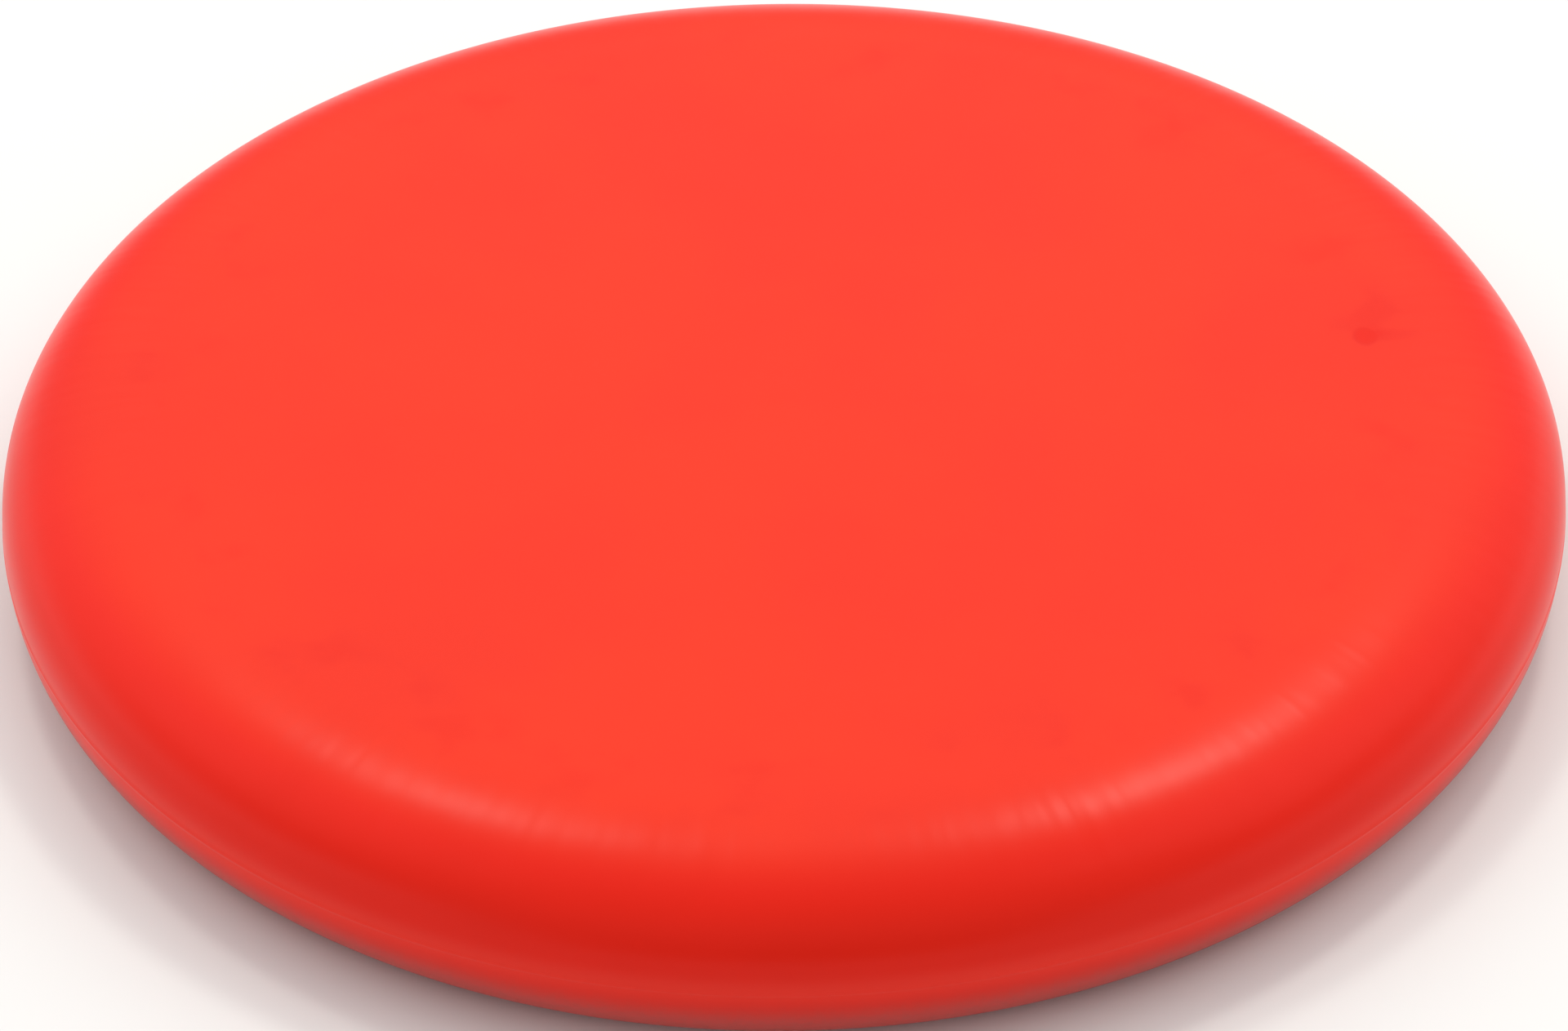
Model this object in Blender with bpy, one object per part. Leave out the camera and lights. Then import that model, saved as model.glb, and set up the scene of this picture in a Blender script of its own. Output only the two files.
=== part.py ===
"""A flying disc for throwing on a lawn: one thin, flexible plastic moulding.

Frame: +Z up, the disc lying as it lands, rim down. The origin is the centre of the circle that the rim
stands on. The shape is a solid of revolution about +Z: a flat plate, a round shoulder, and a lip that
curls in under the rim and ends in a rolled bead with a narrow flat foot.
"""

import math

import bmesh
import bpy

# Outside, in metres
OUTER_RADIUS = 0.1150  # at the parting line, the widest point
HEIGHT = 0.0280
PLATE_RADIUS = 0.0900  # flat top, out to where the shoulder begins
PARTING_HEIGHT = 0.0127  # the two mould halves met here
FOOT_OUTER_RADIUS = 0.1045  # the lip curls in from the parting line to here

# Walls: thin plate, thicker rim, thickest at the bead
PLATE_THICKNESS = 0.0018
RIM_THICKNESS = 0.0024  # at the parting line
BEAD_THICKNESS = 0.0030
FOOT_WIDTH = 0.0020  # flat ring under the bead

# Inside corners
UNDERSIDE_PLATE_RADIUS = 0.0895  # flat underside, out to the inner shoulder
BEAD_SHELF_WIDTH = 0.0010  # flat top of the bead, between its round end and the inner lip

# Mould gate left at the middle of the underside
GATE_RADIUS = 0.0030
GATE_DEPTH = 0.0005
GATE_DRAFT = 0.0003

# How round each quarter turn is: 2 is an ellipse, more is squarer
SHOULDER_SQUARENESS = 2.5
LIP_SQUARENESS = 2.0

# Facets
TURN_STEPS = 96
SHOULDER_STEPS = 10
LIP_STEPS = 6
BEAD_STEPS = 3
MERGE_DISTANCE = 0.0001
SHARP_ANGLE = math.radians(35)

RED = (0.80, 0.024, 0.008, 1.0)
PLASTIC_ROUGHNESS = 0.32


def remove_scene_objects():
    for thing in list(bpy.data.objects):
        bpy.data.objects.remove(thing, do_unlink=True)


def quarter_turn(centre, reach, squareness, start, end, steps):
    """Points on a superellipse about centre, from the angle start to end, both included."""
    points = []
    for step in range(steps + 1):
        angle = math.radians(start + (end - start) * step / steps)
        across, up = math.cos(angle), math.sin(angle)
        radius = centre[0] + reach[0] * math.copysign(abs(across) ** (2 / squareness), across)
        height = centre[1] + reach[1] * math.copysign(abs(up) ** (2 / squareness), up)
        points.append((radius, height))
    return points


def outer_profile():
    """Top centre, flat plate, shoulder, parting line and lip, down to the foot."""
    shoulder = quarter_turn(
        centre=(PLATE_RADIUS, PARTING_HEIGHT),
        reach=(OUTER_RADIUS - PLATE_RADIUS, HEIGHT - PARTING_HEIGHT),
        squareness=SHOULDER_SQUARENESS,
        start=90,
        end=0,
        steps=SHOULDER_STEPS,
    )
    lip = quarter_turn(
        centre=(FOOT_OUTER_RADIUS, PARTING_HEIGHT),
        reach=(OUTER_RADIUS - FOOT_OUTER_RADIUS, PARTING_HEIGHT),
        squareness=LIP_SQUARENESS,
        start=0,
        end=-90,
        steps=LIP_STEPS,
    )
    return [(0.0, HEIGHT)] + shoulder + lip[1:]


def bead_profile():
    """The foot's flat ring, then the rolled end of the lip, facing the middle."""
    roll_radius = BEAD_THICKNESS / 2
    roll_centre = (FOOT_OUTER_RADIUS - FOOT_WIDTH, roll_radius)
    return quarter_turn(roll_centre, (roll_radius, roll_radius), 2, -90, -270, 2 * BEAD_STEPS)


def inner_profile():
    """From the bead's top out along the inside of the lip, up the rim, and in to the centre."""
    bead_top_radius = FOOT_OUTER_RADIUS - FOOT_WIDTH + BEAD_SHELF_WIDTH
    rim_inner_radius = OUTER_RADIUS - RIM_THICKNESS
    underside_height = HEIGHT - PLATE_THICKNESS
    lip = quarter_turn(
        centre=(bead_top_radius, PARTING_HEIGHT),
        reach=(rim_inner_radius - bead_top_radius, PARTING_HEIGHT - BEAD_THICKNESS),
        squareness=LIP_SQUARENESS,
        start=-90,
        end=0,
        steps=LIP_STEPS,
    )
    shoulder = quarter_turn(
        centre=(UNDERSIDE_PLATE_RADIUS, PARTING_HEIGHT),
        reach=(rim_inner_radius - UNDERSIDE_PLATE_RADIUS, underside_height - PARTING_HEIGHT),
        squareness=SHOULDER_SQUARENESS,
        start=0,
        end=90,
        steps=SHOULDER_STEPS,
    )
    gate = [
        (GATE_RADIUS, underside_height),
        (GATE_RADIUS - GATE_DRAFT, underside_height - GATE_DEPTH),
        (0.0, underside_height - GATE_DEPTH),
    ]
    return lip + shoulder[1:] + gate


def profile_mesh(name, points):
    """An open chain of edges in the XZ plane, at +X."""
    mesh = bpy.data.meshes.new(name)
    shape = bmesh.new()
    corners = [shape.verts.new((radius, 0.0, height)) for radius, height in points]
    for first, second in zip(corners, corners[1:]):
        shape.edges.new((first, second))
    shape.to_mesh(mesh)
    shape.free()
    return mesh


def turn_about_z(thing):
    """Turn an object's profile into a closed solid of revolution."""
    screw = thing.modifiers.new("turn", "SCREW")
    screw.axis = "Z"
    screw.steps = TURN_STEPS
    screw.render_steps = TURN_STEPS
    screw.use_merge_vertices = True
    screw.merge_threshold = MERGE_DISTANCE
    screw.use_smooth_shade = True


def evaluated_mesh(thing, name):
    """The object's mesh with its modifiers applied, shaded smooth but for sharp edges."""
    graph = bpy.context.evaluated_depsgraph_get()
    mesh = bpy.data.meshes.new_from_object(thing.evaluated_get(graph))
    mesh.name = name
    mesh.shade_smooth()
    mesh.set_sharp_from_angle(angle=SHARP_ANGLE)
    return mesh


def red_plastic():
    material = bpy.data.materials.new("red_polyethylene")
    material.use_nodes = True
    surface = material.node_tree.nodes["Principled BSDF"]
    surface.inputs["Base Color"].default_value = RED
    surface.inputs["Roughness"].default_value = PLASTIC_ROUGHNESS
    surface.inputs["Metallic"].default_value = 0.0
    material.diffuse_color = RED
    return material


def build_disc():
    """The whole disc: plate, shoulder, rim, lip and bead are one moulding with nothing joined on."""
    profile = outer_profile() + bead_profile() + inner_profile()
    disc = bpy.data.objects.new("disc", profile_mesh("disc_profile", profile))
    bpy.context.scene.collection.objects.link(disc)
    turn_about_z(disc)
    turned = evaluated_mesh(disc, "disc")
    disc.modifiers.clear()
    disc.data = turned
    disc.data.materials.append(red_plastic())
    return disc


remove_scene_objects()
build_disc()
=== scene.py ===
import math

import bpy
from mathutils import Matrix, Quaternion, Vector, noise


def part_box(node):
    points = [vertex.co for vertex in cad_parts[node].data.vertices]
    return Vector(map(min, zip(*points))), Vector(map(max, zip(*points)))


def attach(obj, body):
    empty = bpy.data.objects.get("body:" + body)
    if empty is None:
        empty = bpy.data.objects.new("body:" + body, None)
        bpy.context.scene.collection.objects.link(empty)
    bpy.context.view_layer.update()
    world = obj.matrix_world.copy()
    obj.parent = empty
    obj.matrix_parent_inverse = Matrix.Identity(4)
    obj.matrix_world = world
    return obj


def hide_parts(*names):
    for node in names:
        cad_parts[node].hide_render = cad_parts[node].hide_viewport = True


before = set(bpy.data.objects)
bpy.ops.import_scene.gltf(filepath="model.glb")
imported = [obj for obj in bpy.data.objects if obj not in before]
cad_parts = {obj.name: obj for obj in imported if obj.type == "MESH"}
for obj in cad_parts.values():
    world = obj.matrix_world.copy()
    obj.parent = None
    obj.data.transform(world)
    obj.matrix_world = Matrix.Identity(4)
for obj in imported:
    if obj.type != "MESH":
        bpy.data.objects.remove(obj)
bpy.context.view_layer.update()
discLow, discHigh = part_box("disc")
rimRadius = (discHigh.x - discLow.x) / 2
discHeight = discHigh.z
print("frame loaded: disc", round(rimRadius * 2000, 1), "mm across,", round(discHeight * 1000, 1), "mm high")

# One thin shell, turned about its axis. Metres and degrees.
moulding = {
    "plateRadius": 0.0900,  # flat top, out to where the shoulder begins
    "crownDrop": 0.0005,  # how much lower the plate would be at the rim than in the middle
    "crownPower": 4.0,  # higher keeps the middle flatter
    "partingHeight": 0.0127,  # the widest point, where the mould halves met
    "footRadius": 0.1045,  # the lip curls in to here
    "plateThickness": 0.0018,
    "rimThickness": 0.0024,
    "beadThickness": 0.0030,
    "footWidth": 0.0020,
    "beadShelf": 0.0010,
    "undersideRadius": 0.0895,
    "shoulderSquareness": 2.5,  # 2 is an ellipse, more is squarer
    "lipSquareness": 2.0,
    "ridgeHeight": 0.00008,  # the thin line that the mould halves leave
    "ridgeHalfWidth": 0.00030,
    "gateRadius": 0.0030,  # stub of the gate, in the middle underneath
    "gateTaper": 0.9,
    "gateDepth": 0.0005,
    "turnSteps": 384,
    "plateRings": 42,
    "shoulderSteps": 52,
    "lipSteps": 26,
    "beadSteps": 14,
    "insideLipSteps": 16,
    "insideShoulderSteps": 26,
    "undersideRings": 16,
    "sinkDepth": 0.00008,  # slow unevenness that cooling leaves in the plate and rim
    "sinkSpan": 0.045,
    "sinkEase": 0.006,  # it fades out over this height above the parting line
    "sharpAngle": 50,
}


def quarterTurn(centre, reach, squareness, start, end, steps):
    # points on a superellipse, both ends included
    points = []
    for step in range(steps + 1):
        angle = math.radians(start + (end - start) * step / steps)
        across, up = math.cos(angle), math.sin(angle)
        points.append((
            centre[0] + reach[0] * math.copysign(abs(across) ** (2 / squareness), across),
            centre[1] + reach[1] * math.copysign(abs(up) ** (2 / squareness), up),
        ))
    return points


def crowned(m, point):
    # the whole top falls away slightly from the middle, and not at all by the parting line
    radius, height = point
    share = (height - m["partingHeight"]) / (discHeight - m["partingHeight"])
    return radius, height - m["crownDrop"] * share * (radius / rimRadius) ** m["crownPower"]


def outerProfile(m):
    # the plate from near its middle out, the shoulder, the parting line, and the lip down to the foot
    rings = m["plateRings"]
    wall = rimRadius - m["ridgeHeight"]
    plate = [(m["plateRadius"] * ring / rings, discHeight) for ring in range(1, rings)]
    shoulder = quarterTurn(
        (m["plateRadius"], m["partingHeight"]),
        (wall - m["plateRadius"], discHeight - m["partingHeight"]),
        m["shoulderSquareness"], 90, 2, m["shoulderSteps"])
    ridge = []
    for angle in map(math.radians, (75, 40, 15, 0, -15, -40, -75)):
        ridge.append((
            wall + m["ridgeHeight"] * math.cos(angle) ** 2,
            m["partingHeight"] + m["ridgeHalfWidth"] * math.sin(angle),
        ))
    lip = quarterTurn(
        (m["footRadius"], m["partingHeight"]),
        (wall - m["footRadius"], m["partingHeight"]),
        m["lipSquareness"], -3, -90, m["lipSteps"])
    return [crowned(m, point) for point in plate + shoulder] + ridge + lip


def innerProfile(m):
    # round the bead, out along the inside of the lip, up the rim, and in to the gate
    roll = m["beadThickness"] / 2
    foot = m["footRadius"] - m["footWidth"]
    bead = quarterTurn((foot, roll), (roll, roll), 2, -90, -270, m["beadSteps"])
    shelf = foot + m["beadShelf"]
    inside = rimRadius - m["rimThickness"]
    ceiling = discHeight - m["plateThickness"]
    lip = quarterTurn(
        (shelf, m["partingHeight"]), (inside - shelf, m["partingHeight"] - m["beadThickness"]),
        m["lipSquareness"], -90, 0, m["insideLipSteps"])
    shoulder = quarterTurn(
        (m["undersideRadius"], m["partingHeight"]),
        (inside - m["undersideRadius"], ceiling - m["partingHeight"]),
        m["shoulderSquareness"], 0, 90, m["insideShoulderSteps"])
    rings = m["undersideRings"]
    underside = [(m["undersideRadius"] * ring / rings, ceiling) for ring in range(rings - 1, 0, -1)]
    gate = [(m["gateRadius"], ceiling), (m["gateRadius"] * m["gateTaper"], ceiling - m["gateDepth"])]
    return bead + lip + shoulder[1:] + underside + gate


def sink(m, radius, angle, height):
    # how far the plastic pulled in here as it cooled: only above the parting line
    place = Vector((radius * math.cos(angle), radius * math.sin(angle), height)) / m["sinkSpan"]
    above = min(1.0, max(0.0, (height - m["partingHeight"]) / m["sinkEase"] - 0.3))
    return m["sinkDepth"] * above * (0.5 + 0.5 * noise.noise(place))


def turnedMesh(name, m):
    # rings of quads, closed by a fan at each end of the axis
    outside = outerProfile(m)
    profile = outside + innerProfile(m)
    steps = m["turnSteps"]
    corners, faces = [], []
    for index, (radius, height) in enumerate(profile):
        for step in range(steps):
            angle = 2 * math.pi * step / steps
            pull = sink(m, radius, angle, height) if index < len(outside) else 0.0
            corners.append((radius * math.cos(angle), radius * math.sin(angle), height - pull))
    for ring in range(len(profile) - 1):
        for step in range(steps):
            here, after = ring * steps + step, ring * steps + (step + 1) % steps
            faces.append((here, here + steps, after + steps, after))
    top, under = len(corners), len(corners) + 1
    corners += [(0, 0, discHeight), (0, 0, profile[-1][1])]
    last = (len(profile) - 1) * steps
    for step in range(steps):
        after = (step + 1) % steps
        faces += [(top, step, after), (under, last + after, last + step)]
    mesh = bpy.data.meshes.new(name)
    mesh.from_pydata(corners, [], faces)
    mesh.shade_smooth()
    mesh.set_sharp_from_angle(angle=math.radians(m["sharpAngle"]))
    return mesh


# Satin red polyethylene, coloured right through
redPlastic = {
    "colour": (0.80, 0.0245, 0.0016, 1),
    "shadedWallColour": (0.80, 0.0158, 0.0060, 1),  # painted shade: the rim's side, a deeper red than the plate where it turns from the light
    "wallShadeTop": 0.0279,  # the plate's colour eases into the rim's painted shade between these heights
    "wallShadeFoot": 0.0245,
    "litLineColour": (0.84, 0.0350, 0.0200, 1),  # painted light: paler along the widest part, where light from the floor falls on it
    "litLineSpan": 0.0036,
    "litLineShare": 0.85,
    "deepAndShadedColour": (0.72, 0.0140, 0.0036, 1),  # darker red: pigment clouds and the mark, and painted shade in the ring round the plate's edge
    "wornAndShadedColour": (0.34, 0.0980, 0.0860, 1),  # scuffed dull and a little dusty, and painted darker and greyer as shade and a grey reflection of the floor under the rim
    "plateDepth": (0.004, 0.001),  # how far below the top the plate's own marks fade out, and are whole
    "cloudScale": 26.0,  # pigment clouds, per metre
    "cloudRange": (0.35, 0.70),  # from where in the noise they show
    "cloudShare": 0.4,
    "ringShadeScale": 75.0,  # painted shade in patches round the edge of the plate, where the top starts to turn down
    "ringShadeRange": (0.50, 0.68),
    "ringShadeRadii": (0.078, 0.088, 0.092, 0.100),  # radii: begins, whole, whole, ends
    "ringShadeShare": 0.35,
    "roughness": 0.289,
    "roughnessSpread": 0.013,
    "roughnessScale": 70.0,
    "roughnessRange": (0.3, 0.7),
    "grainScale": 2600.0,  # the mould's fine texture
    "grainDepth": 0.0000035,
    "ribTurns": 30.0,  # fine ribs across the shoulder
    "ribDepth": 0.00008,
    "ribStretch": 60.0,  # how fast they change along each ray
    "ribBand": (0.088, 0.098, 0.109, 0.1145),  # radii, as for the smudges
    "ribPatchScale": 14.0,
    "ribPatchRange": (0.30, 0.46),
    "scratchScale": 900.0,
    "scratchRange": (0.35, 0.65),
    "scratchLeast": 0.85,
    "wornShadeTop": 0.0124,  # on the lip, which meets the ground and sits in its shade
    "wornShadeFoot": 0.0052,
    "wornShadeShare": 0.62,
    "wornRoughness": 0.15,
    "specular": 0.125,
    "dulled": 0.35,  # how much of that the mark and the ring of painted shade take away
}

# A small mark left in the plate, with a faint trail that runs outward
mark = {
    "place": (0.0861, 0.0117),
    "length": 0.0021,
    "width": 0.0028,
    "trail": 0.0065,
    "trailWidth": 0.00196,
    "depth": 0.00003,
    "share": 0.9,
    "trailShare": 0.35,
}


def addNode(tree, kind, inputs=None, **settings):
    node = tree.nodes.new(kind)
    for name, value in settings.items():
        setattr(node, name, value)
    for name, value in (inputs or {}).items():
        if isinstance(value, bpy.types.NodeSocket):
            tree.links.new(value, node.inputs[name])
        else:
            node.inputs[name].default_value = value
    return node


def calc(tree, operation, first, second=0.0, clamp=False):
    return addNode(
        tree, "ShaderNodeMath", {0: first, 1: second}, operation=operation, use_clamp=clamp).outputs[0]


def product(tree, *values):
    total = values[0]
    for value in values[1:]:
        total = calc(tree, "MULTIPLY", total, value)
    return total


def spread(tree, value, low, high, newLow=0.0, newHigh=1.0):
    # value's range from low to high becomes newLow to newHigh, eased at both ends
    return addNode(
        tree, "ShaderNodeMapRange",
        {"Value": value, "From Min": low, "From Max": high, "To Min": newLow, "To Max": newHigh},
        interpolation_type="SMOOTHSTEP").outputs["Result"]


def within(tree, value, band):
    # 0 below band's first value and above its last, 1 between the middle two
    return product(tree, spread(tree, value, band[0], band[1]), spread(tree, value, band[3], band[2]))


def cloudy(tree, place, scale, detail=2.0):
    texture = addNode(tree, "ShaderNodeTexNoise", {"Vector": place, "Scale": scale, "Detail": detail})
    return texture.outputs["Fac"]


def blended(tree, share, first, second):
    mix = addNode(tree, "ShaderNodeMix", data_type="RGBA")
    for name, value in (("Factor", share), ("A", first), ("B", second)):
        kind = "VALUE" if name == "Factor" else "RGBA"
        socket = next(s for s in mix.inputs if s.name == name and s.type == kind)
        if isinstance(value, bpy.types.NodeSocket):
            tree.links.new(value, socket)
        else:
            socket.default_value = value
    return next(s for s in mix.outputs if s.type == "RGBA")


def ribbing(tree, split, turns, along):
    # height that varies round the axis, and slowly along each ray
    flat = addNode(tree, "ShaderNodeCombineXYZ", {name: split.outputs[name] for name in "XY"}).outputs[0]
    radius = addNode(tree, "ShaderNodeVectorMath", {0: flat}, operation="LENGTH").outputs["Value"]
    ray = addNode(tree, "ShaderNodeVectorMath", {0: flat}, operation="NORMALIZE").outputs["Vector"]
    ray = addNode(tree, "ShaderNodeVectorMath", {0: ray, "Scale": turns}, operation="SCALE").outputs["Vector"]
    rise = addNode(tree, "ShaderNodeCombineXYZ", {"Z": calc(tree, "MULTIPLY", radius, along)}).outputs[0]
    place = addNode(tree, "ShaderNodeVectorMath", {0: ray, 1: rise}, operation="ADD").outputs["Vector"]
    return cloudy(tree, place, 1.0, 1.0), radius


def markShape(tree, split, k):
    # the mark itself, and its trail: 1 in the middle, easing to 0 at the edge
    angle = math.atan2(k["place"][1], k["place"][0])
    cosine, sine = math.cos(angle), math.sin(angle)
    offX = calc(tree, "SUBTRACT", split.outputs["X"], k["place"][0])
    offY = calc(tree, "SUBTRACT", split.outputs["Y"], k["place"][1])
    along = calc(tree, "ADD", product(tree, offX, cosine), product(tree, offY, sine))
    across = calc(tree, "SUBTRACT", product(tree, offY, cosine), product(tree, offX, sine))

    def oval(start, length, width):
        lengthwise = calc(tree, "DIVIDE", calc(tree, "SUBTRACT", along, start), length)
        sideways = calc(tree, "DIVIDE", across, width)
        away = calc(tree, "ADD", calc(tree, "POWER", calc(tree, "ABSOLUTE", lengthwise), 2.0),
                    calc(tree, "POWER", calc(tree, "ABSOLUTE", sideways), 2.0))
        return spread(tree, away, 1.0, 0.0)

    return oval(0.0, k["length"], k["width"]), oval(k["trail"] / 2, k["trail"], k["trailWidth"])


def redPolyethylene(p, k):
    material = bpy.data.materials.new("redPolyethylene")
    material.use_nodes = True
    tree = material.node_tree
    surface = tree.nodes["Principled BSDF"]
    place = addNode(tree, "ShaderNodeTexCoord").outputs["Object"]
    split = addNode(tree, "ShaderNodeSeparateXYZ", {0: place})
    ribs, radius = ribbing(tree, split, p["ribTurns"], p["ribStretch"])
    height = split.outputs["Z"]
    onPlate = spread(tree, height, *[discHeight - depth for depth in p["plateDepth"]])
    spot, trail = [product(tree, shape, onPlate) for shape in markShape(tree, split, k)]

    # colour: clouds and the mark on the plate, with a ring of painted shade round its edge; painted shade
    # deepening the rim, painted light along its widest part, and a worn lip, painted darker and greyer as
    # shade and floor reflection
    clouds = spread(tree, cloudy(tree, place, p["cloudScale"], 4.0), *p["cloudRange"])
    # painted shade: dark patches in a ring round the edge of the plate, duller in reflection too
    ring = product(tree, within(tree, radius, p["ringShadeRadii"]), onPlate)
    ringShade = product(tree, spread(tree, cloudy(tree, place, p["ringShadeScale"], 3.0), *p["ringShadeRange"]), ring)
    # the mark, then the ring of painted shade, make one mask
    markedAndShaded = calc(tree, "ADD", product(tree, spot, k["share"]), product(tree, trail, k["trailShare"]))
    markedAndShaded = calc(tree, "ADD", markedAndShaded, product(tree, ringShade, p["ringShadeShare"]), clamp=True)
    deepAndShaded = calc(tree, "ADD", markedAndShaded, product(tree, clouds, p["cloudShare"]), clamp=True)
    # painted shade: the rim's side is coloured a deeper red than the plate, from just under the top down
    wall = spread(tree, height, p["wallShadeTop"], p["wallShadeFoot"])
    colour = blended(tree, deepAndShaded, blended(tree, wall, p["colour"], p["shadedWallColour"]), p["deepAndShadedColour"])
    # painted light: a paler band round the widest part, standing in for the floor's light on it
    offLine = calc(tree, "ABSOLUTE", calc(tree, "SUBTRACT", height, moulding["partingHeight"]))
    litLine = product(tree, spread(tree, offLine, p["litLineSpan"], 0.0), p["litLineShare"])
    colour = blended(tree, litLine, colour, p["litLineColour"])
    # the lip is scuffed, and also painted darker and greyer: painted shade and a painted grey reflection of
    # the floor
    low = spread(tree, height, p["wornShadeTop"], p["wornShadeFoot"])
    scratches = cloudy(tree, place, p["scratchScale"], 6.0)
    scratches = spread(tree, scratches, *p["scratchRange"], p["scratchLeast"], 1.0)
    wornAndShaded = product(tree, low, scratches, p["wornShadeShare"])
    colour = blended(tree, wornAndShaded, colour, p["wornAndShadedColour"])
    tree.links.new(colour, surface.inputs["Base Color"])

    # finish: satin, a little uneven, duller where it is worn
    uneven = cloudy(tree, place, p["roughnessScale"], 5.0)
    smoothest, roughest = p["roughness"] - p["roughnessSpread"], p["roughness"] + p["roughnessSpread"]
    finish = spread(tree, uneven, *p["roughnessRange"], smoothest, roughest)
    finish = calc(tree, "ADD", finish, product(tree, wornAndShaded, p["wornRoughness"]), clamp=True)
    tree.links.new(finish, surface.inputs["Roughness"])
    shine = spread(tree, markedAndShaded, 0.0, 1.0, p["specular"], p["specular"] * (1 - p["dulled"]))
    tree.links.new(shine, surface.inputs["Specular IOR Level"])

    # relief: the mould's grain, fine ribs in patches on the shoulder, and the mark
    patches = spread(tree, cloudy(tree, place, p["ribPatchScale"], 1.0), *p["ribPatchRange"])
    ribHeight = product(tree, ribs, within(tree, radius, p["ribBand"]), patches)
    texture = cloudy(tree, place, p["grainScale"], 2.0)
    grain = addNode(tree, "ShaderNodeBump", {"Height": texture, "Distance": p["grainDepth"]})
    ribbed = addNode(
        tree, "ShaderNodeBump", {"Height": ribHeight, "Distance": p["ribDepth"], "Normal": grain.outputs[0]})
    dented = addNode(
        tree, "ShaderNodeBump",
        {"Height": calc(tree, "SUBTRACT", 1.0, spot), "Distance": k["depth"], "Normal": ribbed.outputs[0]})
    tree.links.new(dented.outputs[0], surface.inputs["Normal"])
    return material


disc = bpy.data.objects.new("flyingDisc", turnedMesh("flyingDisc", moulding))
bpy.context.scene.collection.objects.link(disc)
disc.data.materials.append(redPolyethylene(redPlastic, mark))
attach(disc, "root")
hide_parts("disc")
print("disc moulded:", len(disc.data.polygons), "faces")

# A plain studio: a white wall behind, white screens low at the sides, a pale ceiling, and a dim front.
# Spans are parts of a unit vector that points at the wall.
room = {
    "floorSize": 12.0,
    "floorColour": (0.81, 0.81, 0.805, 1),
    "floorRoughness": 0.9,
    "floorSpecular": 0.1,
    "fillStrength": 0.285,  # from everywhere alike
    "backStrength": 0.05,
    "backRise": 1.16,  # the wall behind is brighter higher up
    "backSpan": (-0.4, 0.9),  # in Y, from where it begins to where it is whole
    "sideStrength": 1.28,
    "sideSpan": (0.3, 0.95),  # in X, either way
    "sideTop": (0.5, 0.05),  # in Z, down from the screens' soft top edge
    "ceilingStrength": 0.33,
    "ceilingSpan": (0.1, 0.7),  # in Z
}

lampColour = (1.0, 0.985, 0.90)  # a little warmer than the walls
softboxes = {
    "softboxLeft": {"azimuth": -27, "elevation": 61.2, "distance": 1.9, "size": (0.26, 0.26), "watts": 4.2},
    "softboxRight": {"azimuth": 28.5, "elevation": 58.7, "distance": 1.9, "size": (0.26, 0.26), "watts": 5.8},
    "sidePanelLeft": {"azimuth": -90, "elevation": 50, "distance": 1.9, "size": (1.2, 1.2), "watts": 1.8},
    "sidePanelRight": {"azimuth": 90, "elevation": 50, "distance": 1.9, "size": (1.2, 1.2), "watts": 2.9},
}

shot = {
    "distance": 0.9486,
    "elevation": 37.39,
    "tilt": -0.441,  # away from aiming at the disc's middle
    "roll": 0.682,
    "lens": 147.5,
}


def paleFloor(r):
    half = r["floorSize"] / 2
    mesh = bpy.data.meshes.new("floor")
    corners = [(-half, -half, 0), (half, -half, 0), (half, half, 0), (-half, half, 0)]
    mesh.from_pydata(corners, [], [(0, 1, 2, 3)])
    floor = bpy.data.objects.new("floor", mesh)
    floor.location.z = discLow.z
    bpy.context.scene.collection.objects.link(floor)
    material = bpy.data.materials.new("paleFloor")
    material.use_nodes = True
    surface = material.node_tree.nodes["Principled BSDF"]
    surface.inputs["Base Color"].default_value = r["floorColour"]
    surface.inputs["Roughness"].default_value = r["floorRoughness"]
    surface.inputs["Specular IOR Level"].default_value = r["floorSpecular"]
    mesh.materials.append(material)


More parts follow.
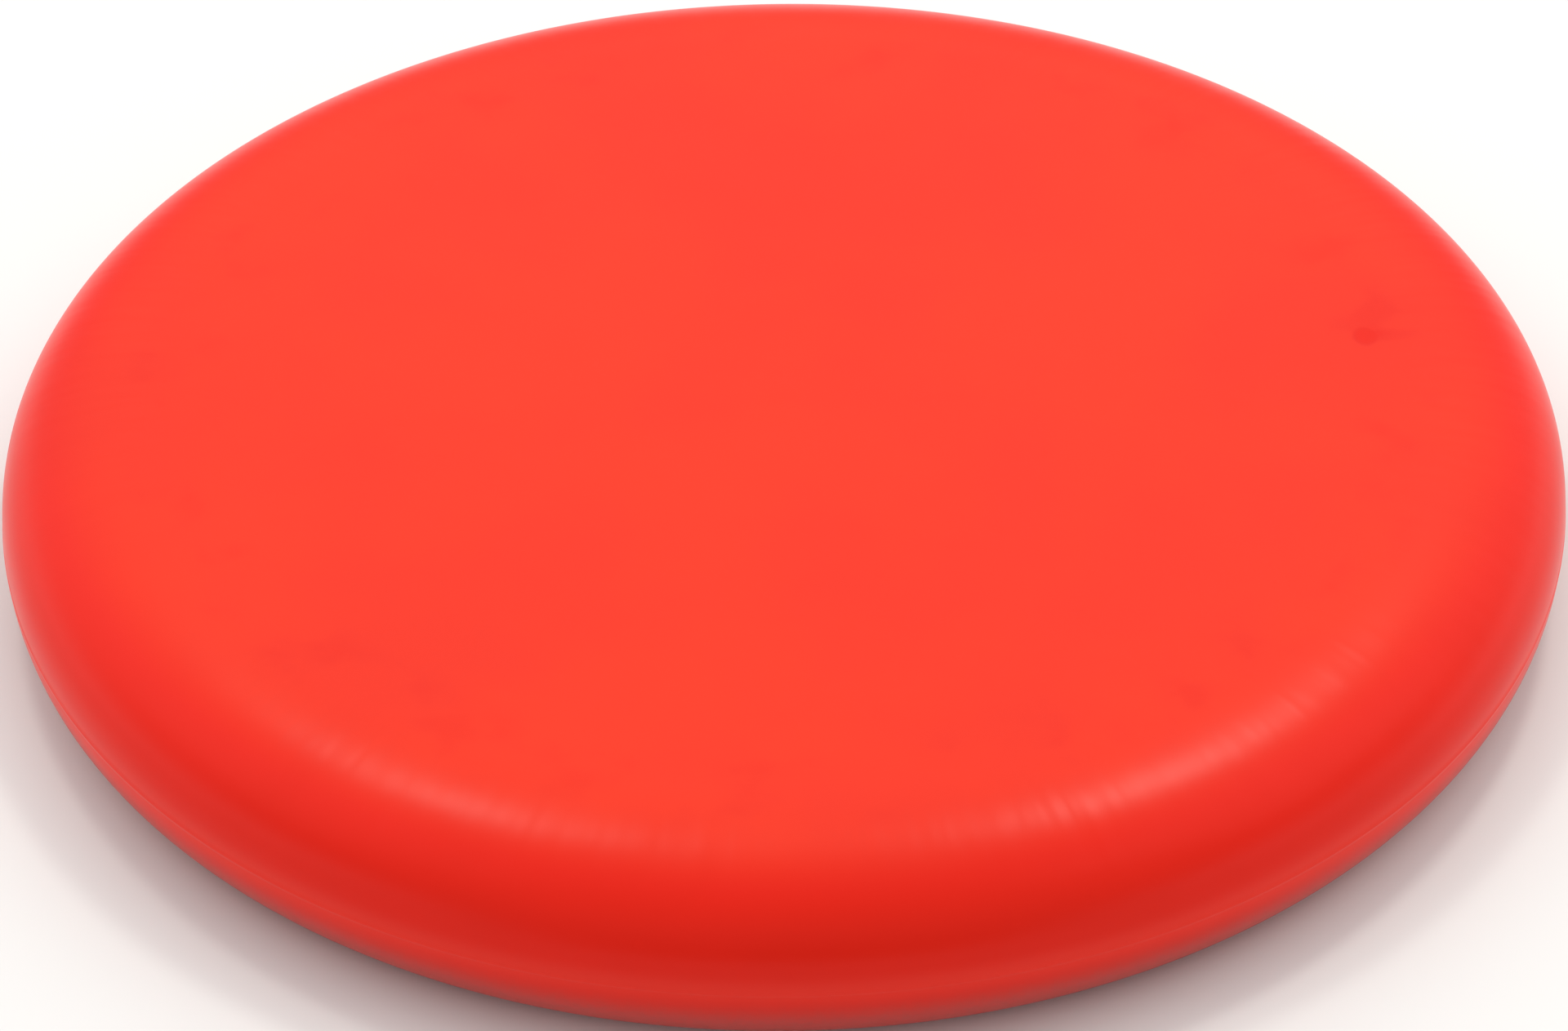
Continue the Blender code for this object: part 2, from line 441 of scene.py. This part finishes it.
def softSky(r):
    # the walls and ceiling, as seen from the disc: +Y is behind it, and X runs left to right
    world = bpy.data.worlds.new("softSky")
    world.use_nodes = True
    tree = world.node_tree
    direction = addNode(tree, "ShaderNodeTexCoord").outputs["Generated"]
    outward = addNode(tree, "ShaderNodeSeparateXYZ", {0: direction})
    back = spread(tree, outward.outputs["Y"], *r["backSpan"])
    rise = spread(tree, outward.outputs["Z"], *r["ceilingSpan"])
    back = product(tree, back, calc(tree, "ADD", r["backStrength"], product(tree, rise, r["backRise"])))
    ceiling = product(tree, rise, r["ceilingStrength"])
    aside = spread(tree, calc(tree, "ABSOLUTE", outward.outputs["X"]), *r["sideSpan"], 0.0, r["sideStrength"])
    sides = product(tree, aside, spread(tree, outward.outputs["Z"], *r["sideTop"]))
    strength = calc(tree, "ADD", back, ceiling)
    strength = calc(tree, "ADD", strength, calc(tree, "ADD", sides, r["fillStrength"]))
    tree.links.new(strength, tree.nodes["Background"].inputs["Strength"])
    tree.nodes["Background"].inputs["Color"].default_value = (1, 1, 1, 1)
    bpy.context.scene.world = world


def towards(azimuth, elevation):
    # azimuth 0 is behind the disc, along +Y, and 90 is to the right
    a, e = math.radians(azimuth), math.radians(elevation)
    return Vector((math.sin(a) * math.cos(e), math.cos(a) * math.cos(e), math.sin(e)))


def softbox(name, azimuth, elevation, distance, size, watts):
    light = bpy.data.lights.new(name, "AREA")
    light.shape = "RECTANGLE"
    light.size, light.size_y = size
    light.energy = watts
    light.color = lampColour
    lamp = bpy.data.objects.new(name, light)
    lamp.location = towards(azimuth, elevation) * distance
    lamp.rotation_mode = "QUATERNION"
    lamp.rotation_quaternion = (-lamp.location).to_track_quat("-Z", "Y")
    bpy.context.scene.collection.objects.link(lamp)


def camera(s):
    back = towards(180, s["elevation"])
    data = bpy.data.cameras.new("camera")
    data.sensor_width = 36
    data.lens = s["lens"]
    cam = bpy.data.objects.new("camera", data)
    cam.location = Vector((0, 0, discHeight / 2)) + back * s["distance"]
    cam.rotation_mode = "QUATERNION"
    cam.rotation_quaternion = (
        (-back).to_track_quat("-Z", "Y")
        @ Quaternion((1, 0, 0), math.radians(s["tilt"]))
        @ Quaternion((0, 0, 1), math.radians(-s["roll"]))
    )
    bpy.context.scene.collection.objects.link(cam)
    bpy.context.scene.camera = cam


paleFloor(room)
softSky(room)
for name, lamp in softboxes.items():
    softbox(name, **lamp)
camera(shot)
bpy.context.scene.view_settings.view_transform = "Standard"
print("room lit")
